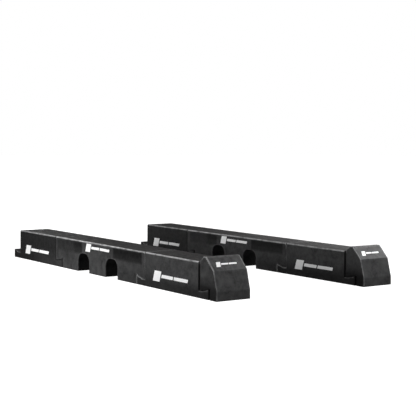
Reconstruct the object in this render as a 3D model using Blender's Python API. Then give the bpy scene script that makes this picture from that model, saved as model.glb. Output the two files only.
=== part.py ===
"""Leveling block set: two parallel tracks of hooked foam blocks for standing a road car level on.

Each track, from the rear (-X) to the front (+X), is a wheel block, a bridge block with two arched
cut-outs, a second wheel block and a wheel stop.  Every block is a cut foam core, a sprayed coating over
its top, sides and hook faces, a non-slip base coat under each foot, and flat mark films on its faces.

Metres, +Z up.  The origin is at the middle of the set's footprint, on the floor.
"""
import bpy
import bmesh
import math
from mathutils import Vector

# ------------------------------------------------------------------ driving dimensions
DECK_H = 0.3048            # lift height: floor to deck
TRACK_W = 0.3440           # width of every block
TRACK_PITCH = 1.6280       # between the two tracks' centre lines
WHEEL_BLOCK_L = 0.8345     # deck length of a wheel block
BRIDGE_L = 1.7195          # distance between the two wheel blocks of one track
STOP_L = 0.2572            # wheel stop, from the front block's face to its own toe

TONGUE_L = 0.1440          # hook tongue at the foot of each end of a wheel block
TONGUE_TIP_H = 0.0887      # its height at the tip
TONGUE_ROOT_H = 0.0615     # its height where it meets the block: the hook's valley
SCOOP_START = 0.0170       # from the block's face to where the tongue's top starts to rise
SCOOP_STEPS = 5            # facets in the curve that rises to the tip
BRIDGE_CLEAR = 0.0040      # bridge: from a tongue's tip and top to the recess around it
BRIDGE_SEAM = 0.0035       # gap between a bridge's end face and the block beside it
STOP_CLEAR_X = 0.0150      # wheel stop: from the tongue's tip to the end of its recess
STOP_CLEAR_Z = 0.0040      # wheel stop: from the tongue's top to the recess's roof
STOP_SEAM = 0.0150         # gap between a wheel stop's face and the block beside it

ARCH_SPACING = 0.5390      # between the centre lines of the bridge's two arches
ARCH_W = 0.2195
ARCH_H = 0.1820
ARCH_CORNER_R = 0.0820     # rounding of an arch's two top corners
ARCH_STEPS = 6             # facets in each rounded corner

STOP_TOP_H = 0.3515        # wheel stop's crest
STOP_CREST_REAR = 0.0685   # end of the slope that rises from the deck
STOP_CREST_FRONT = 0.1015  # end of the crest
STOP_BREAK_1 = (0.2078, 0.2440)   # first and second front facet meet
STOP_BREAK_2 = (0.2545, 0.0833)   # second and third front facet meet

SKIN_T = 0.0030            # sprayed coating
BASE_T = 0.0040            # non-slip base coat
GAP = 0.0003               # working gap between touching pieces
R_DECK = 0.0120            # rounding of the long deck edges
R_CORNER = 0.0050          # rounding of the other outer edges
R_BREAK = 0.0040           # rounding at shallow breaks and round the arches
CORE_CHAMFER = 0.0090      # chamfer on the cut foam and on the coating's inside

MARK_T = 0.0006            # mark film
MARK_L = 0.5480            # mark on a wheel block
MARK_H = 0.0930
MARK_FROM_END = 0.1330     # from the block's rear deck end to the mark
MARK_LOW = 0.0650          # mark's lower edge above the floor
BRIDGE_MARK_L = 0.4640
BRIDGE_MARK_LOW = 0.2080
STOP_MARK_L = 0.2200
STOP_MARK_FROM_SIDE = 0.0530
STOP_MARK_DOWN = 0.1120    # from the facet's upper edge to the mark's lower edge
MARK_ASPECT = MARK_H / MARK_L

# ------------------------------------------------------------------ derived positions along the track
X_REAR_TIP = -TONGUE_L
X_SEAM_1 = WHEEL_BLOCK_L
X_SEAM_2 = X_SEAM_1 + BRIDGE_L
X_SEAM_3 = X_SEAM_2 + WHEEL_BLOCK_L
X_TOE = X_SEAM_3 + STOP_L
X_MID = 0.5 * (X_REAR_TIP + X_TOE)
Z_FLOAT = BASE_T + GAP     # where core and coating start, above the base coat


# ------------------------------------------------------------------ scene helpers
def clear_scene():
    for ob in list(bpy.data.objects):
        bpy.data.objects.remove(ob, do_unlink=True)
    for me in list(bpy.data.meshes):
        if me.users == 0:
            bpy.data.meshes.remove(me)


def make_material(name, colour, roughness, metallic=0.0):
    mat = bpy.data.materials.new(name)
    mat.use_nodes = True
    shader = mat.node_tree.nodes["Principled BSDF"]
    shader.inputs["Base Color"].default_value = (*colour, 1.0)
    shader.inputs["Roughness"].default_value = roughness
    shader.inputs["Metallic"].default_value = metallic
    mat.diffuse_color = (*colour, 1.0)
    return mat


def link(ob, parent, material):
    bpy.context.scene.collection.objects.link(ob)
    ob.parent = parent
    if material is not None:
        ob.data.materials.append(material)
    return ob


# ------------------------------------------------------------------ profiles
# A profile is a closed, counter-clockwise outline in X and Z.  Each entry is (x, z, kind), where kind names
# the stretch that starts at that point: floor, deck, face, scoop or arch.
def scoop(lift):
    """Points (distance from the block's face, height) up a hook tongue's curved top, without its tip."""
    run = TONGUE_L - SCOOP_START
    return [(SCOOP_START + run * i / SCOOP_STEPS,
             TONGUE_ROOT_H + lift + (TONGUE_TIP_H - TONGUE_ROOT_H) * (i / SCOOP_STEPS) ** 2)
            for i in range(SCOOP_STEPS)]


def wheel_block_profile():
    length = WHEEL_BLOCK_L
    rise = scoop(0.0)
    pts = [
        (-TONGUE_L, 0.0, "floor"),
        (length + TONGUE_L, 0.0, "face"),
        (length + TONGUE_L, TONGUE_TIP_H, "scoop"),
    ]
    pts += [(length + d, z, "scoop") for d, z in reversed(rise)]
    pts += [
        (length, TONGUE_ROOT_H, "face"),
        (length, DECK_H, "deck"),
        (0.0, DECK_H, "face"),
        (0.0, TONGUE_ROOT_H, "scoop"),
    ]
    pts += [(-d, z, "scoop") for d, z in rise]
    pts += [(-TONGUE_L, TONGUE_TIP_H, "face")]
    return pts


def arch_points(centre):
    half = 0.5 * ARCH_W
    r = ARCH_CORNER_R
    pts = [(centre - half, 0.0, "arch")]
    for i in range(ARCH_STEPS + 1):
        a = math.pi - 0.5 * math.pi * i / ARCH_STEPS
        pts.append((centre - half + r + r * math.cos(a), ARCH_H - r + r * math.sin(a), "arch"))
    for i in range(ARCH_STEPS + 1):
        a = 0.5 * math.pi - 0.5 * math.pi * i / ARCH_STEPS
        pts.append((centre + half - r + r * math.cos(a), ARCH_H - r + r * math.sin(a), "arch"))
    pts.append((centre + half, 0.0, "floor"))
    return pts


def bridge_profile():
    # x is measured from the rear wheel block's face
    left, right = BRIDGE_SEAM, BRIDGE_L - BRIDGE_SEAM
    foot_l, foot_r = TONGUE_L + BRIDGE_CLEAR, BRIDGE_L - TONGUE_L - BRIDGE_CLEAR
    tip, root = TONGUE_TIP_H + BRIDGE_CLEAR, TONGUE_ROOT_H + BRIDGE_CLEAR
    roof = scoop(BRIDGE_CLEAR)
    mid = 0.5 * BRIDGE_L
    pts = [(foot_l, 0.0, "floor")]
    pts += arch_points(mid - 0.5 * ARCH_SPACING)
    pts += arch_points(mid + 0.5 * ARCH_SPACING)
    pts += [
        (foot_r, 0.0, "face"),
        (foot_r, tip, "scoop"),
    ]
    pts += [(BRIDGE_L - d, z, "scoop") for d, z in reversed(roof)]
    pts += [
        (right, root, "face"),
        (right, DECK_H, "deck"),
        (left, DECK_H, "face"),
        (left, root, "scoop"),
    ]
    pts += [(d, z, "scoop") for d, z in roof]
    pts += [(foot_l, tip, "face")]
    return pts


def stop_profile():
    # x is measured from the front wheel block's face
    foot = TONGUE_L + STOP_CLEAR_X
    tip, root = TONGUE_TIP_H + STOP_CLEAR_Z, TONGUE_ROOT_H + STOP_CLEAR_Z
    pts = [
        (foot, 0.0, "floor"),
        (STOP_L, 0.0, "face"),
        (STOP_BREAK_2[0], STOP_BREAK_2[1], "face"),
        (STOP_BREAK_1[0], STOP_BREAK_1[1], "face"),
        (STOP_CREST_FRONT, STOP_TOP_H, "deck"),
        (STOP_CREST_REAR, STOP_TOP_H, "face"),
        (STOP_SEAM, DECK_H, "face"),
        (STOP_SEAM, root, "scoop"),
    ]
    pts += [(d, z, "scoop") for d, z in scoop(STOP_CLEAR_Z)]
    pts += [(foot, tip, "face")]
    return pts


def lift_floor(profile, z_floor):
    """Move the floor stretches to z_floor, sliding their ends along the walls that stand on them."""
    n = len(profile)
    out = []
    for i, (x, z, kind) in enumerate(profile):
        if abs(z) > 1e-9:
            out.append((x, z, kind))
            continue
        # the wall at this floor corner is the neighbour that leaves the floor
        prev_pt, next_pt = profile[i - 1], profile[(i + 1) % n]
        wall = next_pt if abs(next_pt[1]) > 1e-9 else prev_pt
        f = z_floor / (wall[1] - z)
        out.append((x + f * (wall[0] - x), z_floor, kind))
    return out


def inset(profile, distance, z_floor):
    """Move every stretch but the floor inward by distance, and the floor to z_floor."""
    n = len(profile)
    lines = []
    for i in range(n):
        ax, az, kind = profile[i]
        bx, bz, _ = profile[(i + 1) % n]
        if kind == "floor":
            lines.append(((ax, z_floor), (1.0, 0.0)))
            continue
        dx, dz = bx - ax, bz - az
        length = math.hypot(dx, dz)
        dx, dz = dx / length, dz / length
        lines.append(((ax - dz * distance, az + dx * distance), (dx, dz)))
    out = []
    for i in range(n):
        (px, pz), (dx, dz) = lines[i - 1]
        (qx, qz), (ex, ez) = lines[i]
        cross = dx * ez - dz * ex
        if abs(cross) < 1e-9:
            out.append((qx, qz, profile[i][2]))
            continue
        t = ((qx - px) * ez - (qz - pz) * ex) / cross
        out.append((px + t * dx, pz + t * dz, profile[i][2]))
    return out


# ------------------------------------------------------------------ solids
def corner_weight(profile, i, biggest):
    """Rounding of the edge that runs across the block at profile point i, as a share of the biggest."""
    n = len(profile)
    ax, az, kind_in = profile[i - 1]
    bx, bz, kind_out = profile[i]
    cx, cz, _ = profile[(i + 1) % n]
    if kind_in == "floor" or kind_out == "floor":
        return 0.0
    turn = math.atan2(cz - bz, cx - bx) - math.atan2(bz - az, bx - ax)
    turn = (turn + math.pi) % (2 * math.pi) - math.pi
    if kind_in == kind_out and kind_in in ("arch", "scoop"):
        return 0.0
    if abs(turn) < math.radians(30) or turn < 0:
        return R_BREAK / biggest
    return R_CORNER / biggest


def side_weight(kind, biggest):
    return {"floor": 0.0, "deck": R_DECK, "face": R_CORNER, "scoop": R_BREAK, "arch": R_BREAK}[kind] / biggest


def extruded_block(name, profile, y_low, y_high, weighted):
    """A block of the given outline between two planes across Y.  Its edges carry their rounding as weights."""
    me = bpy.data.meshes.new(name)
    bm = bmesh.new()
    near = [bm.verts.new((x, y_low, z)) for x, z, _ in profile]
    face = bm.faces.new(near)
    grown = bmesh.ops.extrude_face_region(bm, geom=[face])
    far = [v for v in grown["geom"] if isinstance(v, bmesh.types.BMVert)]
    bmesh.ops.translate(bm, vec=(0.0, y_high - y_low, 0.0), verts=far)
    bmesh.ops.recalc_face_normals(bm, faces=bm.faces)
    layer = bm.edges.layers.float.new("bevel_weight_edge")
    n = len(profile)

    def index_of(v):
        return min(range(n), key=lambda i: abs(profile[i][0] - v.co.x) + abs(profile[i][1] - v.co.z))

    for e in bm.edges:
        i, j = index_of(e.verts[0]), index_of(e.verts[1])
        if i == j:
            w = corner_weight(profile, i, R_DECK) if weighted else (
                0.0 if corner_weight(profile, i, R_DECK) * R_DECK < R_CORNER * 0.9 else 1.0)
        else:
            start = i if (i + 1) % n == j else j
            kind = profile[start][2]
            w = side_weight(kind, R_DECK) if weighted else (0.0 if kind in ("floor", "arch") else 1.0)
        e[layer] = w
    bm.to_mesh(me)
    bm.free()
    return bpy.data.objects.new(name, me)


def add_bevel(ob, width, segments):
    mod = ob.modifiers.new("rounding", "BEVEL")
    mod.width = width
    mod.segments = segments
    mod.limit_method = "WEIGHT"
    mod.harden_normals = False
    mod.use_clamp_overlap = True
    mod.miter_outer = "MITER_SHARP"
    return mod


def add_cut(ob, cutter):
    mod = ob.modifiers.new("hollow", "BOOLEAN")
    mod.operation = "DIFFERENCE"
    mod.solver = "EXACT"
    mod.object = cutter
    return mod


def make_coating(name, profile, parent, material):
    outer = extruded_block(name, lift_floor(profile, Z_FLOAT), 0.0, TRACK_W, True)
    cavity = extruded_block(name + "_cutter", inset(profile, SKIN_T, -0.02), SKIN_T, TRACK_W - SKIN_T, False)
    link(outer, parent, material)
    link(cavity, parent, None)
    add_bevel(cavity, CORE_CHAMFER, 1)
    cavity.display_type = "WIRE"
    cavity.hide_render = True
    add_bevel(outer, R_DECK, 2)
    add_cut(outer, cavity)
    return outer


def make_core(name, profile, parent, material):
    gap = SKIN_T + GAP
    core = extruded_block(name, inset(profile, gap, Z_FLOAT), gap, TRACK_W - gap, False)
    link(core, parent, material)
    add_bevel(core, CORE_CHAMFER, 1)
    return core


def make_foot(name, x_low, x_high, parent, material):
    """Base coat under one foot: a thin pad with rounded upright corners."""
    me = bpy.data.meshes.new(name)
    bm = bmesh.new()
    bmesh.ops.create_cube(bm, size=1.0)
    bmesh.ops.scale(bm, vec=(x_high - x_low, TRACK_W, BASE_T), verts=bm.verts)
    bmesh.ops.translate(bm, vec=(0.5 * (x_low + x_high), 0.5 * TRACK_W, 0.5 * BASE_T), verts=bm.verts)
    upright = [e for e in bm.edges if abs(e.verts[0].co.z - e.verts[1].co.z) > 0.5 * BASE_T]
    bmesh.ops.bevel(bm, geom=upright, offset=R_CORNER, segments=2, profile=0.5, affect="EDGES",
                    offset_type="OFFSET")
    bm.to_mesh(me)
    bm.free()
    return link(bpy.data.objects.new(name, me), parent, material)


def mark_outline(length, height):
    """A plain slanted block that runs on as a long slanted bar, counter-clockwise."""
    slant = 0.32                       # sideways lean for each unit of height
    block = 0.20 * length
    low, high = 0.40 * height, 0.72 * height

    def pt(along, up):
        return (along + slant * up, up)

    reach = length - slant * high
    return [pt(0.0, 0.0), pt(block, 0.0), pt(block, low), pt(reach, low), pt(reach, high), pt(block, high),
            pt(block, height), pt(0.0, height)]


def make_mark(name, origin, along, up, length, height, parent, material):
    """A film of the mark's outline, MARK_T thick, a working gap off the face it sits on."""
    normal = along.cross(up).normalized()
    me = bpy.data.meshes.new(name)
    bm = bmesh.new()
    base = origin + normal * GAP
    ring = [bm.verts.new(base + along * a + up * b) for a, b in mark_outline(length, height)]
    face = bm.faces.new(ring)
    grown = bmesh.ops.extrude_face_region(bm, geom=[face])
    top = [v for v in grown["geom"] if isinstance(v, bmesh.types.BMVert)]
    bmesh.ops.translate(bm, vec=normal * MARK_T, verts=top)
    bmesh.ops.recalc_face_normals(bm, faces=bm.faces)
    bm.to_mesh(me)
    bm.free()
    return link(bpy.data.objects.new(name, me), parent, material)


# ------------------------------------------------------------------ assemblies
def make_empty(name, location, parent=None):
    ob = bpy.data.objects.new(name, None)
    ob.empty_display_size = 0.1
    bpy.context.scene.collection.objects.link(ob)
    ob.parent = parent
    ob.location = location
    return ob


def wheel_block(prefix, parent, mats):
    profile = wheel_block_profile()
    make_coating(prefix + "_coating", profile, parent, mats["coating"])
    make_core(prefix + "_core", profile, parent, mats["foam"])
    make_foot(prefix + "_base", -TONGUE_L, WHEEL_BLOCK_L + TONGUE_L, parent, mats["base"])
    height = MARK_L * MARK_ASPECT
    make_mark(prefix + "_mark_minus_y", Vector((MARK_FROM_END, 0.0, MARK_LOW)),
              Vector((1, 0, 0)), Vector((0, 0, 1)), MARK_L, height, parent, mats["mark"])
    make_mark(prefix + "_mark_plus_y", Vector((WHEEL_BLOCK_L - MARK_FROM_END, TRACK_W, MARK_LOW)),
              Vector((-1, 0, 0)), Vector((0, 0, 1)), MARK_L, height, parent, mats["mark"])


def bridge(prefix, parent, mats):
    profile = bridge_profile()
    make_coating(prefix + "_coating", profile, parent, mats["coating"])
    make_core(prefix + "_core", profile, parent, mats["foam"])
    mid = 0.5 * BRIDGE_L
    arch = [mid - 0.5 * ARCH_SPACING, mid + 0.5 * ARCH_SPACING]
    foot_l, foot_r = TONGUE_L + BRIDGE_CLEAR, BRIDGE_L - TONGUE_L - BRIDGE_CLEAR
    make_foot(prefix + "_rear_foot", foot_l, arch[0] - 0.5 * ARCH_W, parent, mats["base"])
    make_foot(prefix + "_middle_foot", arch[0] + 0.5 * ARCH_W, arch[1] - 0.5 * ARCH_W, parent, mats["base"])
    make_foot(prefix + "_front_foot", arch[1] + 0.5 * ARCH_W, foot_r, parent, mats["base"])
    height = BRIDGE_MARK_L * MARK_ASPECT
    make_mark(prefix + "_mark_minus_y", Vector((mid - 0.5 * BRIDGE_MARK_L, 0.0, BRIDGE_MARK_LOW)),
              Vector((1, 0, 0)), Vector((0, 0, 1)), BRIDGE_MARK_L, height, parent, mats["mark"])
    make_mark(prefix + "_mark_plus_y", Vector((mid + 0.5 * BRIDGE_MARK_L, TRACK_W, BRIDGE_MARK_LOW)),
              Vector((-1, 0, 0)), Vector((0, 0, 1)), BRIDGE_MARK_L, height, parent, mats["mark"])


def wheel_stop(prefix, parent, mats):
    profile = stop_profile()
    make_coating(prefix + "_coating", profile, parent, mats["coating"])
    make_core(prefix + "_core", profile, parent, mats["foam"])
    make_foot(prefix + "_base", TONGUE_L + STOP_CLEAR_X, STOP_L, parent, mats["base"])
    top = Vector((STOP_CREST_FRONT, 0.0, STOP_TOP_H))
    low = Vector((STOP_BREAK_1[0], 0.0, STOP_BREAK_1[1]))
    up = (top - low).normalized()
    along = Vector((0.0, 1.0, 0.0))
    origin = top - up * STOP_MARK_DOWN + along * STOP_MARK_FROM_SIDE
    make_mark(prefix + "_mark", origin, along, up, STOP_MARK_L, 0.23 * STOP_MARK_L, parent, mats["mark"])


def main():
    clear_scene()
    mats = {
        "coating": make_material("sprayed_coating", (0.030, 0.030, 0.031), 0.52),
        "foam": make_material("expanded_foam", (0.82, 0.82, 0.80), 0.90),
        "base": make_material("base_coat", (0.020, 0.020, 0.020), 0.85),
        "mark": make_material("mark_film", (0.86, 0.86, 0.86), 0.45),
    }
    for side, y_low in (("right", -0.5 * TRACK_PITCH - 0.5 * TRACK_W),
                        ("left", 0.5 * TRACK_PITCH - 0.5 * TRACK_W)):
        for block, x0, build in (("rear_block", 0.0, wheel_block),
                                 ("bridge", X_SEAM_1, bridge),
                                 ("front_block", X_SEAM_2, wheel_block),
                                 ("stop", X_SEAM_3, wheel_stop)):
            prefix = side + "_" + block
            place = make_empty(prefix + "_place", (x0 - X_MID, y_low, 0.0))
            build(prefix, place, mats)
    for ob in bpy.data.objects:
        if ob.type == "MESH":
            for p in ob.data.polygons:
                p.use_smooth = False


main()
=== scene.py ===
import math

import bmesh
import bpy
from mathutils import Matrix, Vector, noise


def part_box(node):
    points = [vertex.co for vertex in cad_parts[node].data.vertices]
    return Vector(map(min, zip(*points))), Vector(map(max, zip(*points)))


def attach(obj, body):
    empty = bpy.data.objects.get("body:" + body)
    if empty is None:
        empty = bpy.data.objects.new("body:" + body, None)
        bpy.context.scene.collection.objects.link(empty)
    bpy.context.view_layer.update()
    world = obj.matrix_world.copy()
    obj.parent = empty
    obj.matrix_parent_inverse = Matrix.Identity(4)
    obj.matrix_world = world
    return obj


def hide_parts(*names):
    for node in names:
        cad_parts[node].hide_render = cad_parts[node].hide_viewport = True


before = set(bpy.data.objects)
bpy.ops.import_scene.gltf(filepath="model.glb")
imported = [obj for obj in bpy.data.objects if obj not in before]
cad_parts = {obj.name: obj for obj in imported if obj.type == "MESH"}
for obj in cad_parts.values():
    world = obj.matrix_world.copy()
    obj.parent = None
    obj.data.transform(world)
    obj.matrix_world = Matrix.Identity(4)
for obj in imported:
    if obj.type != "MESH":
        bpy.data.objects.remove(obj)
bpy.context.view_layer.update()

# ------------------------------------------------------------------ the set's dimensions, in metres
DECK_H = 0.3048
TRACK_W = 0.3440
WHEEL_BLOCK_L = 0.8345
BRIDGE_L = 1.7195
STOP_L = 0.2572
TONGUE_L, TONGUE_TIP_H, TONGUE_ROOT_H = 0.1440, 0.0887, 0.0615
SCOOP_START, SCOOP_STEPS = 0.0170, 8
BRIDGE_CLEAR, STOP_CLEAR_X, STOP_CLEAR_Z = 0.0040, 0.0150, 0.0040
BRIDGE_SEAM, STOP_SEAM = 0.0035, 0.0150
ARCH_SPACING, ARCH_W, ARCH_H, ARCH_CORNER_R = 0.5390, 0.2195, 0.1820, 0.0820
STOP_TOP_H, STOP_CREST_REAR, STOP_CREST_FRONT = 0.3515, 0.0685, 0.1015
STOP_BREAK_1, STOP_BREAK_2 = (0.2078, 0.2440), (0.2545, 0.0833)
SKIN_T = 0.0030
Z_RIM = 0.0043            # the coating's lower rim, just above the base coat
CORE_CHAMFER = 0.0090

R_DECK, R_CORNER, R_BREAK = 0.0120, 0.0050, 0.0090
R_SIDE = {"floor": 0.0, "deck": R_DECK, "face": R_CORNER, "facet": 0.0090, "scoop": 0.0045, "arch": 0.0045}
ARCH_STEPS = 10
GRID = 0.0140             # spacing of the surface mesh
WAVE_BROAD, WAVE_MID, WAVE_EDGE = 0.0006, 0.0003, 0.0008

MARK_L, MARK_H = 0.5480, 0.0930
MARK_FROM_END, MARK_LOW = 0.1330, 0.0650
BRIDGE_MARK_L, BRIDGE_MARK_LOW = 0.4640, 0.2080
STOP_MARK_L, STOP_MARK_FROM_SIDE, STOP_MARK_DOWN = 0.2200, 0.0530, 0.1120


# ------------------------------------------------------------------ outlines in X and Z, counter-clockwise
def scoop(lift):
    """Points (distance from the block's face, height) up a hook tongue's curved top, without its tip."""
    run = TONGUE_L - SCOOP_START
    return [(SCOOP_START + run * i / SCOOP_STEPS,
             TONGUE_ROOT_H + lift + (TONGUE_TIP_H - TONGUE_ROOT_H) * (i / SCOOP_STEPS) ** 2)
            for i in range(SCOOP_STEPS)]


def wheel_block_outline():
    n, rise = WHEEL_BLOCK_L, scoop(0.0)
    return ([(-TONGUE_L, 0.0, "floor"), (n + TONGUE_L, 0.0, "face"), (n + TONGUE_L, TONGUE_TIP_H, "scoop")]
            + [(n + d, z, "scoop") for d, z in reversed(rise)]
            + [(n, TONGUE_ROOT_H, "face"), (n, DECK_H, "deck"), (0.0, DECK_H, "face"),
               (0.0, TONGUE_ROOT_H, "scoop")]
            + [(-d, z, "scoop") for d, z in rise] + [(-TONGUE_L, TONGUE_TIP_H, "face")])


def arch_points(centre):
    half, r = 0.5 * ARCH_W, ARCH_CORNER_R
    pts = [(centre - half, 0.0, "arch")]
    for i in range(ARCH_STEPS + 1):
        a = math.pi - 0.5 * math.pi * i / ARCH_STEPS
        pts.append((centre - half + r + r * math.cos(a), ARCH_H - r + r * math.sin(a), "arch"))
    for i in range(ARCH_STEPS + 1):
        a = 0.5 * math.pi - 0.5 * math.pi * i / ARCH_STEPS
        pts.append((centre + half - r + r * math.cos(a), ARCH_H - r + r * math.sin(a), "arch"))
    pts.append((centre + half, 0.0, "floor"))
    return pts


def bridge_outline():
    left, right = BRIDGE_SEAM, BRIDGE_L - BRIDGE_SEAM
    foot_l, foot_r = TONGUE_L + BRIDGE_CLEAR, BRIDGE_L - TONGUE_L - BRIDGE_CLEAR
    tip, root = TONGUE_TIP_H + BRIDGE_CLEAR, TONGUE_ROOT_H + BRIDGE_CLEAR
    roof, mid = scoop(BRIDGE_CLEAR), 0.5 * BRIDGE_L
    return ([(foot_l, 0.0, "floor")] + arch_points(mid - 0.5 * ARCH_SPACING)
            + arch_points(mid + 0.5 * ARCH_SPACING) + [(foot_r, 0.0, "face"), (foot_r, tip, "scoop")]
            + [(BRIDGE_L - d, z, "scoop") for d, z in reversed(roof)]
            + [(right, root, "face"), (right, DECK_H, "deck"), (left, DECK_H, "face"), (left, root, "scoop")]
            + [(d, z, "scoop") for d, z in roof] + [(foot_l, tip, "face")])


def stop_outline():
    foot, tip, root = TONGUE_L + STOP_CLEAR_X, TONGUE_TIP_H + STOP_CLEAR_Z, TONGUE_ROOT_H + STOP_CLEAR_Z
    return ([(foot, 0.0, "floor"), (STOP_L, 0.0, "face"), (*STOP_BREAK_2, "face"), (*STOP_BREAK_1, "facet"),
             (STOP_CREST_FRONT, STOP_TOP_H, "deck"), (STOP_CREST_REAR, STOP_TOP_H, "facet"),
             (STOP_SEAM, DECK_H, "face"), (STOP_SEAM, root, "scoop")]
            + [(d, z, "scoop") for d, z in scoop(STOP_CLEAR_Z)] + [(foot, tip, "face")])


def lift_floor(outline, z_floor):
    n, out = len(outline), []
    for i, (x, z, kind) in enumerate(outline):
        if abs(z) > 1e-9:
            out.append((x, z, kind))
            continue
        before, after = outline[i - 1], outline[(i + 1) % n]
        wall = after if abs(after[1]) > 1e-9 else before
        out.append((x + z_floor / wall[1] * (wall[0] - x), z_floor, kind))
    return out


def inset(outline, distance, z_floor):
    n, lines, out = len(outline), [], []
    for i in range(n):
        ax, az, kind = outline[i]
        bx, bz, _ = outline[(i + 1) % n]
        if kind == "floor":
            lines.append(((ax, z_floor), (1.0, 0.0)))
            continue
        length = math.hypot(bx - ax, bz - az)
        dx, dz = (bx - ax) / length, (bz - az) / length
        lines.append(((ax - dz * distance, az + dx * distance), (dx, dz)))
    for i in range(n):
        (px, pz), (dx, dz) = lines[i - 1]
        (qx, qz), (ex, ez) = lines[i]
        cross = dx * ez - dz * ex
        t = 0.0 if abs(cross) < 1e-9 else ((qx - px) * ez - (qz - pz) * ex) / cross
        out.append((qx, qz, outline[i][2]) if abs(cross) < 1e-9 else (px + t * dx, pz + t * dz, outline[i][2]))
    return out


# ------------------------------------------------------------------ the sprayed surface
def corner_radius(outline, i):
    n = len(outline)
    ax, az, kind_in = outline[i - 1]
    bx, bz, kind_out = outline[i]
    cx, cz, _ = outline[(i + 1) % n]
    if kind_in == "floor" or kind_out == "floor":
        return 0.0
    turn = math.atan2(cz - bz, cx - bx) - math.atan2(bz - az, bx - ax)
    turn = (turn + math.pi) % (2 * math.pi) - math.pi
    if kind_in == kind_out and kind_in in ("arch", "scoop"):
        return 0.0
    if turn < 0:
        return 0.004
    if abs(turn) < math.radians(35):
        return R_BREAK
    return R_CORNER


def rounded_block(outline, x0, y_low, y_high, radius_of_corner, radius_of_side, segments):
    """A bmesh of the outline carried across Y, its edges rounded by their own radii."""
    me = bpy.data.meshes.new("work")
    bm = bmesh.new()
    near = [bm.verts.new((x0 + x, y_low, z)) for x, z, _ in outline]
    face = bm.faces.new(near)
    grown = bmesh.ops.extrude_face_region(bm, geom=[face])
    far = [v for v in grown["geom"] if isinstance(v, bmesh.types.BMVert)]
    bmesh.ops.translate(bm, vec=(0.0, y_high - y_low, 0.0), verts=far)
    bmesh.ops.recalc_face_normals(bm, faces=bm.faces)
    layer = bm.edges.layers.float.new("bevel_weight_edge")
    n = len(outline)
    place = {}
    for i, (x, z, _) in enumerate(outline):
        place[(round((x0 + x) * 1e5), round(z * 1e5))] = i

    def index_of(v):
        kx, kz = round(v.co.x * 1e5), round(v.co.z * 1e5)
        for dx in (0, 1, -1):
            for dz in (0, 1, -1):
                if (kx + dx, kz + dz) in place:
                    return place[(kx + dx, kz + dz)]
        raise ValueError("outline point not found")

    for e in bm.edges:
        i, j = index_of(e.verts[0]), index_of(e.verts[1])
        if i == j:
            r = radius_of_corner(outline, i)
        else:
            start = i if (i + 1) % n == j else j
            r = radius_of_side(outline[start][2])
        e[layer] = r / R_DECK
    bm.to_mesh(me)
    bm.free()
    ob = bpy.data.objects.new("work", me)
    bpy.context.scene.collection.objects.link(ob)
    mod = ob.modifiers.new("rounding", "BEVEL")
    mod.width = R_DECK
    mod.segments = segments
    mod.limit_method = "WEIGHT"
    mod.use_clamp_overlap = True
    done = ob.evaluated_get(bpy.context.evaluated_depsgraph_get())
    out = bmesh.new()
    out.from_mesh(done.to_mesh())
    done.to_mesh_clear()
    bpy.data.objects.remove(ob, do_unlink=True)
    bpy.data.meshes.remove(me)
    return out


def slice_up(bm, spacing, axes=(0, 1, 2)):
    """Cut the faces into a grid with planes across each axis, so that the surface can be shaped."""
    lo = [min(v.co[a] for v in bm.verts) for a in range(3)]
    hi = [max(v.co[a] for v in bm.verts) for a in range(3)]
    for a in axes:
        count = max(1, round((hi[a] - lo[a]) / spacing))
        step = (hi[a] - lo[a]) / count
        normal = [0.0, 0.0, 0.0]
        normal[a] = 1.0
        for k in range(1, count):
            point = [0.0, 0.0, 0.0]
            point[a] = lo[a] + k * step + 0.00037
            bmesh.ops.bisect_plane(bm, geom=bm.verts[:] + bm.edges[:] + bm.faces[:], dist=1e-5,
                                   plane_co=point, plane_no=normal)


def sag(co):
    """How far the sprayed surface lies inside its nominal face, in metres: broad and middling unevenness."""
    broad = noise.noise(Vector((co.x * 3.1 + 7.0, co.y * 3.7 - 2.0, co.z * 4.3 + 1.0)))
    mid = noise.noise(Vector((co.x * 19.0 - 3.0, co.y * 21.0 + 5.0, co.z * 23.0)))
    return (WAVE_BROAD * (0.5 + 0.5 * max(-1.0, min(1.0, broad * 1.6)))
            + WAVE_MID * (0.5 + 0.5 * max(-1.0, min(1.0, mid * 1.6))))


def by_stop_gap(kind, x, z):
    """True on the edges of the open seam and hook gap between a front block and its wheel stop."""
    if kind == "stop":
        return x < STOP_SEAM + 0.005 and z < DECK_H - 0.012 or x < TONGUE_L + STOP_CLEAR_X + 0.006 and z < 0.105
    return kind == "front_block" and (WHEEL_BLOCK_L - 0.005 < x < WHEEL_BLOCK_L + 0.001 and z < DECK_H - 0.020
                                      or x > WHEEL_BLOCK_L + TONGUE_L - 0.006)


def wear_and_highlight_of(kind, x, z, from_side):
    """How much an edge of this block is rubbed lighter, from 0 to 1, by where it is: partly real edge wear and
    partly painted highlight, dimmer on the rear block's deck edge and fading towards the floor on the stop's
    side edges.
    """
    if by_stop_gap(kind, x, z):
        return 0.0
    # the stop's side edges carry painted highlight that fades towards the floor
    if kind == "stop":
        if x > STOP_CREST_REAR - 0.01:
            if from_side > 0.013:
                return 0.30 if z > STOP_TOP_H - 0.02 else 0.06
            return 1.0 if z > 0.24 else 0.70 if z > 0.090 else 0.32
        return 0.55 if z > DECK_H - 0.01 else 0.10
    # deck edges: wear and painted highlight, dimmer on the rear block
    if z > DECK_H - 0.016:
        length = BRIDGE_L if kind == "bridge" else WHEEL_BLOCK_L
        if x < 0.005 and kind != "rear_block" or x > length - 0.005:
            return 0.0
        return 0.70 if kind == "rear_block" else 1.0
    # a brighter painted highlight at the front block's rear tongue tip
    if kind == "front_block" and x < 0.004:
        return 1.5 if x < 0.012 - TONGUE_L else 0.9
    if kind == "rear_block" and x > WHEEL_BLOCK_L - 0.006 or kind == "bridge" and x < TONGUE_L + 0.014:
        return 0.0
    if z < TONGUE_TIP_H + 0.012:
        return 0.20
    return 0.22


def clamp01(value):
    return max(0.0, min(1.0, value))


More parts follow.
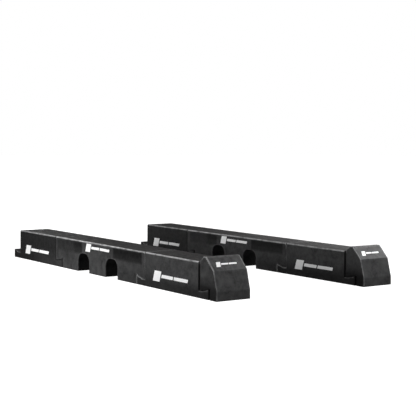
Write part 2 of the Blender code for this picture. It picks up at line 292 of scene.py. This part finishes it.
def painted_shade_of(kind, x, z, normal):
    """Painted shade, 0 to 1, darkening the coating where light falls off: inside the cut-outs, seams and hooks,
    on the decks, towards the floor and over whole blocks.
    """
    length = BRIDGE_L if kind == "bridge" else WHEEL_BLOCK_L
    side = abs(normal.y) > 0.6
    # painted shade in the open seam and hook gap by the wheel stop
    if by_stop_gap(kind, x, z):
        return 1.0
    # painted shade at the deck corners on both sides of the seam between bridge and front block
    if z > DECK_H - 0.016 and (kind == "front_block" and x < 0.005 or kind == "bridge" and x > length - 0.005):
        return 1.0
    if not side:
        # painted shade inside the arches and in the hook recesses at the block ends
        if kind == "bridge":
            off = abs(abs(x - 0.5 * BRIDGE_L) - 0.5 * ARCH_SPACING)
            if off < 0.5 * ARCH_W + 0.003 and z < ARCH_H + 0.003:
                return 0.94
            if min(x, length - x) < TONGUE_L + 0.03 and (z < TONGUE_TIP_H + 0.012 or abs(normal.x) > 0.6):
                return 1.0
        elif kind == "stop":
            if x < TONGUE_L + STOP_CLEAR_X + 0.003 and (z < TONGUE_TIP_H + 0.012 or normal.x < -0.8):
                return 1.0
        # painted shade on end faces that stand in a seam
        elif x > length - 0.002 or (kind == "front_block" and x < 0.002):
            return 1.0
        # painted shade on the wheel stop's lowest facet
        if kind == "stop":
            return 0.26 if x > STOP_L - 0.010 and z < STOP_BREAK_2[1] - 0.006 else 0.0
        # painted shade over the decks, and lighter painted shade on the remaining faces that are not long sides
        if normal.z > 0.8 and z > DECK_H - 0.02:
            return 0.74
        return 0.30
    # long sides: painted shade darker towards the floor and at the hook ends, and over whole blocks where light
    # falls off
    low = clamp01((0.150 - z) / 0.090)
    if z < TONGUE_TIP_H + 0.010 and (kind == "rear_block" and x > WHEEL_BLOCK_L + TONGUE_L - 0.006
                                     or kind == "bridge" and abs(x - TONGUE_L - 0.006) < 0.005):
        return 1.0
    if kind == "rear_block":
        return 0.97 - 0.40 * clamp01((x - 0.30) / 0.50) * clamp01((0.170 - z) / 0.120)
    if kind == "bridge":
        rear = 0.36 * clamp01((0.52 - x) / 0.25) * (1.0 - 0.5 * low)
        upper = 0.14 * clamp01((z - 0.100) / 0.060) + 0.24 * clamp01((z - 0.190) / 0.060)
        front = 0.34 * low * clamp01((x - 1.20) / 0.25) + 0.08 * clamp01((x - 1.0) / 0.4)
        return rear + upper * (1.0 - 0.5 * clamp01((0.52 - x) / 0.25)) + front
    if kind == "front_block":
        return 0.10 + 0.62 * low + 0.14 * clamp01((0.24 - x) / 0.12) * (1.0 - low)
    return 0.18 + 0.80 * clamp01((0.190 - z) / 0.110)


def patch_tone(x, z):
    """The two faint darker panels on a bridge's long faces: 1 inside, 0 outside."""
    off = abs(x - 0.5 * BRIDGE_L)
    along = min((off - 0.290) / 0.020, (0.815 - off) / 0.020, 1.0)
    up = min((z - (0.176 if x > 0.5 * BRIDGE_L else 0.164)) / 0.022, (0.296 - z) / 0.012, 1.0)
    strength = 1.0 if x > 0.5 * BRIDGE_L else 1.0 - 0.40 * clamp01((off - 0.440) / 0.060)
    return max(0.0, min(along, up)) * strength * (0.80 + 0.20 * clamp01((z - 0.225) / 0.030))


def make_coating(name, kind, outline, x0, y0, material):
    y1 = y0 + TRACK_W
    bm = rounded_block(lift_floor(outline, Z_RIM), x0, y0, y1, corner_radius, lambda k: R_SIDE[k], 5)
    slice_up(bm, GRID)
    under = [f for f in bm.faces if f.normal.z < -0.999 and abs(f.calc_center_median().z - Z_RIM) < 1e-4]
    bmesh.ops.delete(bm, geom=under, context="FACES")
    bm.normal_update()
    wear_and_highlight = bm.verts.layers.float.new("wear_and_highlight")
    patch = bm.verts.layers.float.new("patch")
    dust = bm.verts.layers.float.new("dust")
    painted_shade = bm.verts.layers.float.new("painted_shade")
    bend = {}
    for v in bm.verts:
        bend[v] = max([e.calc_face_angle(0.0) for e in v.link_edges if len(e.link_faces) == 2 and e.is_convex]
                      or [0.0]) > math.radians(4)
    # per vertex: rubbed edges with painted highlight, painted shade, dust on upward faces and the bridge's
    # darker panels
    for v in bm.verts:
        if bend[v]:
            border = any(not any(bend[w] for w in f.verts if w is not v) for f in v.link_faces)
            from_side = min(v.co.y - y0, y1 - v.co.y)
            v[wear_and_highlight] = wear_and_highlight_of(kind, v.co.x - x0, v.co.z, from_side) * (0.4 if border else 1.0)
        v[painted_shade] = painted_shade_of(kind, v.co.x - x0, v.co.z, v.normal)
        v[dust] = max(0.0, min(1.0, (v.normal.z - 0.86) / 0.12))
        if kind == "bridge" and min(v.co.y - y0, y1 - v.co.y) < 0.001:
            v[patch] = patch_tone(v.co.x - x0, v.co.z)
    for v in bm.verts:
        keep_z = v.co.z
        depth = sag(v.co)
        if v[wear_and_highlight] > 0.0:
            along = noise.noise(Vector((v.co.x * 23.0, v.co.y * 23.0, v.co.z * 23.0 + 11.0)))
            depth += WAVE_EDGE * v[wear_and_highlight] * (0.5 + 0.5 * max(-1.0, min(1.0, along * 1.5)))
        v.co -= v.normal * depth
        if abs(keep_z - Z_RIM) < 1e-5:
            v.co.z = keep_z
    # the coating's inner face and its lower rim
    inner = rounded_block(inset(outline, SKIN_T, Z_RIM), x0, y0 + SKIN_T, y1 - SKIN_T,
                          lambda o, i: CORE_CHAMFER if corner_radius(o, i) == R_CORNER else 0.0,
                          lambda k: 0.0 if k in ("floor", "arch") else CORE_CHAMFER, 1)
    inner_mesh = bpy.data.meshes.new("work")
    bottoms = [f for f in inner.faces if f.normal.z < -0.999 and abs(f.calc_center_median().z - Z_RIM) < 1e-4]
    bmesh.ops.delete(inner, geom=bottoms, context="FACES")
    bmesh.ops.reverse_faces(inner, faces=inner.faces[:])
    inner.to_mesh(inner_mesh)
    inner.free()
    bm.from_mesh(inner_mesh)
    bpy.data.meshes.remove(inner_mesh)
    rim = [e for e in bm.edges if len(e.link_faces) == 1]
    bmesh.ops.triangle_fill(bm, use_beauty=True, use_dissolve=False, edges=rim, normal=(0.0, 0.0, -1.0))
    bmesh.ops.recalc_face_normals(bm, faces=bm.faces)
    open_edges = sum(1 for e in bm.edges if len(e.link_faces) != 2)
    me = bpy.data.meshes.new(name)
    bm.to_mesh(me)
    bm.free()
    for p in me.polygons:
        p.use_smooth = True
    me.set_sharp_from_angle(angle=math.radians(35))
    me.materials.append(material)
    ob = bpy.data.objects.new(name, me)
    bpy.context.scene.collection.objects.link(ob)
    print(f"{name}: {len(me.polygons)} faces, {open_edges} open edges")
    return ob


# ------------------------------------------------------------------ mark films
def mark_panels(length, height):
    """A plain slanted block and two plain slanted bars, each as four corners counter-clockwise."""
    lean = 0.32
    low, high = 0.40 * height, 0.72 * height
    end = length - lean * high

    def quad(a, b, v0, v1):
        return [(a + lean * v0, v0), (b + lean * v0, v0), (b + lean * v1, v1), (a + lean * v1, v1)]

    return [quad(0.0, 0.195 * length, 0.0, height), quad(0.225 * length, 0.55 * length, low, high),
            quad(0.575 * length, end - lean * low + lean * low, low, high)]


def make_mark(name, origin, along, up, length, height, material):
    normal = along.cross(up).normalized()
    bm = bmesh.new()
    for corners in mark_panels(length, height):
        base = [bm.verts.new(origin + along * a + up * b) for a, b in corners]
        face = bm.faces.new(base)
        grown = bmesh.ops.extrude_face_region(bm, geom=[face])
        top = [v for v in grown["geom"] if isinstance(v, bmesh.types.BMVert)]
        bmesh.ops.translate(bm, vec=normal * 0.0006, verts=top)
    bmesh.ops.recalc_face_normals(bm, faces=bm.faces)
    upright = [e for e in bm.edges if abs((e.verts[0].co - e.verts[1].co).normalized().dot(normal)) > 0.99]
    bmesh.ops.bevel(bm, geom=upright, offset=0.0035, segments=4, profile=0.5, affect="EDGES")
    crown = [e for e in bm.edges if all((v.co - origin).dot(normal) > 0.0005 for v in e.verts)
             and len(e.link_faces) == 2 and e.calc_face_angle(0.0) > math.radians(60)]
    bmesh.ops.bevel(bm, geom=crown, offset=0.0002, segments=1, profile=0.5, affect="EDGES")
    slice_up(bm, GRID)
    for v in bm.verts:
        on_face = v.co - normal * ((v.co - origin).dot(normal))
        v.co += normal * (0.0001 - sag(on_face))
    me = bpy.data.meshes.new(name)
    bm.to_mesh(me)
    bm.free()
    me.materials.append(material)
    ob = bpy.data.objects.new(name, me)
    bpy.context.scene.collection.objects.link(ob)
    return ob


# ------------------------------------------------------------------ materials
class Tree:
    """A short way to write a material's nodes."""

    def __init__(self, name):
        self.mat = bpy.data.materials.new(name)
        self.mat.use_nodes = True
        self.nodes, self.links = self.mat.node_tree.nodes, self.mat.node_tree.links
        self.nodes.clear()
        self.out = self.nodes.new("ShaderNodeOutputMaterial")
        self.shader = self.nodes.new("ShaderNodeBsdfPrincipled")
        self.links.new(self.shader.outputs["BSDF"], self.out.inputs["Surface"])
        self.coord = self.nodes.new("ShaderNodeTexCoord").outputs["Object"]

    def link(self, a, b):
        self.links.new(a, b)

    def noise(self, scale, detail=3.0, rough=0.5, distortion=0.0):
        n = self.nodes.new("ShaderNodeTexNoise")
        n.inputs["Scale"].default_value = scale
        n.inputs["Detail"].default_value = detail
        n.inputs["Roughness"].default_value = rough
        n.inputs["Distortion"].default_value = distortion
        self.link(self.coord, n.inputs["Vector"])
        return n.outputs["Fac"]

    def cells(self, scale, feature="F1", randomness=1.0):
        n = self.nodes.new("ShaderNodeTexVoronoi")
        n.feature = feature
        n.inputs["Scale"].default_value = scale
        n.inputs["Randomness"].default_value = randomness
        self.link(self.coord, n.inputs["Vector"])
        return n.outputs["Distance"]

    def attribute(self, name):
        n = self.nodes.new("ShaderNodeAttribute")
        n.attribute_name = name
        return n.outputs["Fac"]

    def span(self, value, low, high, to_low=0.0, to_high=1.0):
        n = self.nodes.new("ShaderNodeMapRange")
        for key, val in (("From Min", low), ("From Max", high), ("To Min", to_low), ("To Max", to_high)):
            n.inputs[key].default_value = val
        self.link(value, n.inputs["Value"])
        return n.outputs["Result"]

    def math(self, op, a, b):
        n = self.nodes.new("ShaderNodeMath")
        n.operation = op
        for k, val in enumerate((a, b)):
            if isinstance(val, (int, float)):
                n.inputs[k].default_value = val
            else:
                self.link(val, n.inputs[k])
        return n.outputs["Value"]

    def mix(self, factor, a, b):
        n = self.nodes.new("ShaderNodeMix")
        n.data_type = "RGBA"
        self.link(factor, n.inputs["Factor"])
        for key, val in (("A", a), ("B", b)):
            sock = [s for s in n.inputs if s.name == key and s.type == "RGBA"][0]
            if isinstance(val, tuple):
                sock.default_value = (*val, 1.0)
            else:
                self.link(val, sock)
        return [s for s in n.outputs if s.type == "RGBA"][0]

    def bump(self, height, strength, distance, before=None):
        n = self.nodes.new("ShaderNodeBump")
        n.inputs["Strength"].default_value = strength
        n.inputs["Distance"].default_value = distance
        self.link(height, n.inputs["Height"])
        if before is not None:
            self.link(before, n.inputs["Normal"])
        return n.outputs["Normal"]


def coating_material():
    t = Tree("sprayed_coating_look")
    cloud = t.span(t.noise(7.0, 5.0, 0.62, 0.6), 0.36, 0.64)
    blotch = t.span(t.noise(22.0, 4.0, 0.62, 0.4), 0.36, 0.64)
    fine = t.span(t.noise(75.0, 3.0, 0.6), 0.35, 0.65)
    base = t.mix(cloud, (0.0135, 0.0135, 0.0138), (0.0490, 0.0490, 0.0496))
    base = t.mix(t.math("MULTIPLY", blotch, 0.50), base, (0.0700, 0.0700, 0.0706))
    base = t.mix(t.math("MULTIPLY", fine, 0.30), base, (0.0660, 0.0660, 0.0666))
    # painted shade: darkens the base colour towards near-black where the mesh is marked for shade
    base = t.mix(t.math("MULTIPLY", t.attribute("painted_shade"), 0.90), base, (0.0020, 0.0020, 0.0021))
    base = t.mix(t.math("MULTIPLY", t.attribute("patch"), 0.95), base, (0.0012, 0.0012, 0.0013))
    dusty = t.math("MULTIPLY", t.attribute("dust"), t.span(t.noise(13.0, 6.0, 0.68, 0.8), 0.42, 0.70, 0.0, 0.35))
    base = t.mix(dusty, base, (0.070, 0.061, 0.057))
    # lighter rubbed edges: partly real wear, partly painted highlight
    wear_and_highlight = t.math("MULTIPLY", t.attribute("wear_and_highlight"), t.span(t.noise(16.0, 4.0, 0.65), 0.34, 0.60, 0.25, 1.0))
    worn_and_highlit = t.mix(wear_and_highlight, base, (0.260, 0.260, 0.263))
    t.link(worn_and_highlit, t.shader.inputs["Base Color"])
    rough = t.span(t.noise(28.0, 3.0, 0.55), 0.3, 0.7, 0.42, 0.60)
    rough = t.math("SUBTRACT", rough, t.math("MULTIPLY", wear_and_highlight, 0.12))
    rough = t.math("ADD", rough, t.math("MULTIPLY", t.attribute("patch"), 0.14))
    t.link(rough, t.shader.inputs["Roughness"])
    t.shader.inputs["Specular IOR Level"].default_value = 0.11
    broad = t.bump(t.noise(34.0, 3.0, 0.5), 0.40, 0.0014)
    pebble = t.bump(t.cells(260.0, "SMOOTH_F1"), 0.50, 0.0007, broad)
    grain = t.bump(t.noise(900.0, 2.0, 0.6), 0.25, 0.0002, pebble)
    t.link(grain, t.shader.inputs["Normal"])
    return t.mat


def base_material():
    t = Tree("base_coat_look")
    grit = t.cells(180.0)
    t.link(t.mix(t.span(grit, 0.1, 0.7), (0.030, 0.030, 0.030), (0.012, 0.012, 0.012)),
           t.shader.inputs["Base Color"])
    t.link(t.span(t.noise(70.0), 0.3, 0.7, 0.74, 0.92), t.shader.inputs["Roughness"])
    t.shader.inputs["Specular IOR Level"].default_value = 0.35
    t.link(t.bump(grit, 0.8, 0.0012), t.shader.inputs["Normal"])
    return t.mat


def foam_material():
    t = Tree("expanded_foam_look")
    bead = t.cells(240.0)
    edge = t.cells(240.0, "DISTANCE_TO_EDGE")
    t.link(t.mix(t.span(edge, 0.0, 0.12), (0.60, 0.60, 0.58), (0.83, 0.83, 0.81)),
           t.shader.inputs["Base Color"])
    t.link(t.span(bead, 0.0, 0.8, 0.7, 0.95), t.shader.inputs["Roughness"])
    t.link(t.bump(bead, 0.6, 0.0012), t.shader.inputs["Normal"])
    return t.mat


def mark_material():
    t = Tree("mark_film_look")
    scuff = t.span(t.noise(85.0, 5.0, 0.7), 0.60, 0.74)
    t.link(t.mix(scuff, (0.92, 0.92, 0.92), (0.60, 0.60, 0.60)), t.shader.inputs["Base Color"])
    t.link(t.span(t.noise(40.0, 3.0, 0.6), 0.3, 0.7, 0.38, 0.55), t.shader.inputs["Roughness"])
    t.link(t.bump(t.cells(260.0, "SMOOTH_F1"), 0.25, 0.0005), t.shader.inputs["Normal"])
    return t.mat


COATING, BASE, FOAM, MARK = coating_material(), base_material(), foam_material(), mark_material()

# ------------------------------------------------------------------ the two tracks
for side in ("right", "left"):
    for block, outline in (("rear_block", wheel_block_outline()), ("bridge", bridge_outline()),
                           ("front_block", wheel_block_outline()), ("stop", stop_outline())):
        body = side + "_" + block
        low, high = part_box(body + "_coating")
        x0 = low.x - min(p[0] for p in outline)
        y0 = low.y
        coating = make_coating(body + "_sprayed_shell", block, outline, x0, y0, COATING)
        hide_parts(body + "_coating")
        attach(coating, body)
        marks = []
        z_up = Vector((0.0, 0.0, 1.0))
        if block == "stop":
            top = Vector((x0 + STOP_CREST_FRONT, y0, STOP_TOP_H))
            brk = Vector((x0 + STOP_BREAK_1[0], y0, STOP_BREAK_1[1]))
            up = (top - brk).normalized()
            along = Vector((0.0, 1.0, 0.0))
            marks.append(("_mark", top - up * STOP_MARK_DOWN + along * STOP_MARK_FROM_SIDE, along, up,
                          STOP_MARK_L, 0.23 * STOP_MARK_L))
        else:
            length = BRIDGE_MARK_L if block == "bridge" else MARK_L
            z = BRIDGE_MARK_LOW if block == "bridge" else MARK_LOW
            full = BRIDGE_L if block == "bridge" else WHEEL_BLOCK_L
            start = 0.5 * (BRIDGE_L - BRIDGE_MARK_L) if block == "bridge" else MARK_FROM_END
            tall = length * MARK_H / MARK_L
            marks.append(("_mark_minus_y", Vector((x0 + start, y0, z)), Vector((1, 0, 0)), z_up, length, tall))
            marks.append(("_mark_plus_y", Vector((x0 + full - start, y0 + TRACK_W, z)), Vector((-1, 0, 0)),
                          z_up, length, tall))
        for tail, origin, along, up, length, tall in marks:
            film = make_mark(body + tail + "_film", origin, along, up, length, tall, MARK)
            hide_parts(body + tail)
            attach(film, body)

for node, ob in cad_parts.items():
    mat = FOAM if node.endswith("_core") else BASE if node.endswith(("_base", "_foot")) else None
    if mat is not None:
        ob.data.materials.clear()
        ob.data.materials.append(mat)

# ------------------------------------------------------------------ floor, light and camera
def stage_floor():
    """A pale sweep: it shows nearly white, and throws less light back up at the set than a white one would."""
    t = Tree("studio_floor")
    t.link(t.mix(t.noise(0.6, 2.0), (0.340, 0.340, 0.340), (0.350, 0.350, 0.350)), t.shader.inputs["Base Color"])
    t.shader.inputs["Roughness"].default_value = 0.9
    t.shader.inputs["Specular IOR Level"].default_value = 0.1
    glow = t.nodes.new("ShaderNodeEmission")
    glow.inputs["Strength"].default_value = FLOOR_GLOW
    seen = t.nodes.new("ShaderNodeLightPath").outputs["Is Camera Ray"]
    dark = t.nodes.new("ShaderNodeEmission")
    dark.inputs["Strength"].default_value = 0.0
    pick = t.nodes.new("ShaderNodeMixShader")
    t.link(seen, pick.inputs[0])
    t.link(dark.outputs[0], pick.inputs[1])
    t.link(glow.outputs[0], pick.inputs[2])
    both = t.nodes.new("ShaderNodeAddShader")
    t.link(t.shader.outputs[0], both.inputs[0])
    t.link(pick.outputs[0], both.inputs[1])
    t.link(both.outputs[0], t.out.inputs["Surface"])
    me = bpy.data.meshes.new("studio_floor")
    bm = bmesh.new()
    bmesh.ops.create_grid(bm, x_segments=2, y_segments=2, size=60.0)
    bm.to_mesh(me)
    bm.free()
    me.materials.append(t.mat)
    ob = bpy.data.objects.new("studio_floor", me)
    bpy.context.scene.collection.objects.link(ob)
    ob.location.z = -0.0004


def area_light(name, location, target, size_x, size_y, power, spread=180.0):
    data = bpy.data.lights.new(name, "AREA")
    data.shape = "RECTANGLE"
    data.size, data.size_y = size_x, size_y
    data.energy = power
    data.spread = math.radians(spread)
    ob = bpy.data.objects.new(name, data)
    bpy.context.scene.collection.objects.link(ob)
    ob.location = location
    ob.rotation_mode = "QUATERNION"
    ob.rotation_quaternion = (Vector(target) - Vector(location)).to_track_quat("-Z", "Y")
    ob.visible_camera = False
    return ob


FLOOR_GLOW = 1.0
AMBIENT = 0.08

stage_floor()
area_light("overhead", (2.4, 2.6, 3.1), (1.8, 0.3, 0.2), 2.2, 1.2, 38.0, 100.0)
area_light("rear_rim", (-14.6, -1.8, 9.3), (0.0, 0.0, 0.3), 5.0, 2.5, 1650.0)
area_light("near_strip", (0.35, -1.80, 0.82), (0.35, -0.98, 0.18), 3.5, 0.25, 4.2, 56.0)
area_light("near_key", (-0.9, -5.0, 0.90), (-0.6, -0.98, 0.20), 2.8, 0.5, 32.0, 120.0)
area_light("near_rear", (-2.6, -3.6, 0.55), (-1.55, -0.98, 0.14), 0.8, 0.4, 3.0, 60.0)
area_light("front_high", (4.6, 0.9, 3.6), (1.7, 0.0, 0.2), 2.4, 1.2, 19.0)
area_light("front_low", (6.6, 0.0, 0.9), (1.89, 0.0, 0.2), 2.4, 0.6, 78.0)
area_light("far_strip", (0.1, 2.6, 1.1), (0.1, 0.98, 0.16), 3.6, 0.5, 24.0, 90.0)
area_light("rear_low", (-5.5, 0.6, 0.27), (-1.75, 0.0, 0.15), 2.6, 0.4, 24.0)

world = bpy.data.worlds.new("studio")
bpy.context.scene.world = world
world.use_nodes = True
nodes, links = world.node_tree.nodes, world.node_tree.links
nodes.clear()
wide = nodes.new("ShaderNodeBackground")
wide.inputs["Color"].default_value = (1.0, 1.0, 1.0, 1.0)
wide.inputs["Strength"].default_value = AMBIENT
white = nodes.new("ShaderNodeBackground")
white.inputs["Color"].default_value = (1.0, 1.0, 1.0, 1.0)
white.inputs["Strength"].default_value = 1.0
pick = nodes.new("ShaderNodeMixShader")
links.new(nodes.new("ShaderNodeLightPath").outputs["Is Camera Ray"], pick.inputs[0])
links.new(wide.outputs[0], pick.inputs[1])
links.new(white.outputs[0], pick.inputs[2])
links.new(pick.outputs[0], nodes.new("ShaderNodeOutputWorld").inputs["Surface"])
bpy.context.scene.view_settings.view_transform = "Standard"
bpy.context.scene.view_settings.look = "None"

CAM_YAW, CAM_PITCH, CAM_ROLL = math.radians(35.490), math.radians(3.756), math.radians(0.571)
CAM_AT = Vector((10.4299 - 1.75085, -4.9322 - 0.9860, 1.3100))
forward = Vector((-math.cos(CAM_YAW) * math.cos(CAM_PITCH), math.sin(CAM_YAW) * math.cos(CAM_PITCH),
                  -math.sin(CAM_PITCH)))
right = forward.cross(Vector((0, 0, 1))).normalized()
upward = right.cross(forward)
right2 = right * math.cos(CAM_ROLL) + upward * math.sin(CAM_ROLL)
upward2 = upward * math.cos(CAM_ROLL) - right * math.sin(CAM_ROLL)
cam_data = bpy.data.cameras.new("camera")
cam_data.lens = 90.75
cam_data.sensor_width = 36.0
cam_data.clip_end = 200.0
cam = bpy.data.objects.new("camera", cam_data)
bpy.context.scene.collection.objects.link(cam)
turn = Matrix((right2, upward2, -forward)).transposed().to_4x4()
cam.matrix_world = Matrix.Translation(CAM_AT) @ turn
bpy.context.scene.camera = cam

bpy.context.view_layer.update()
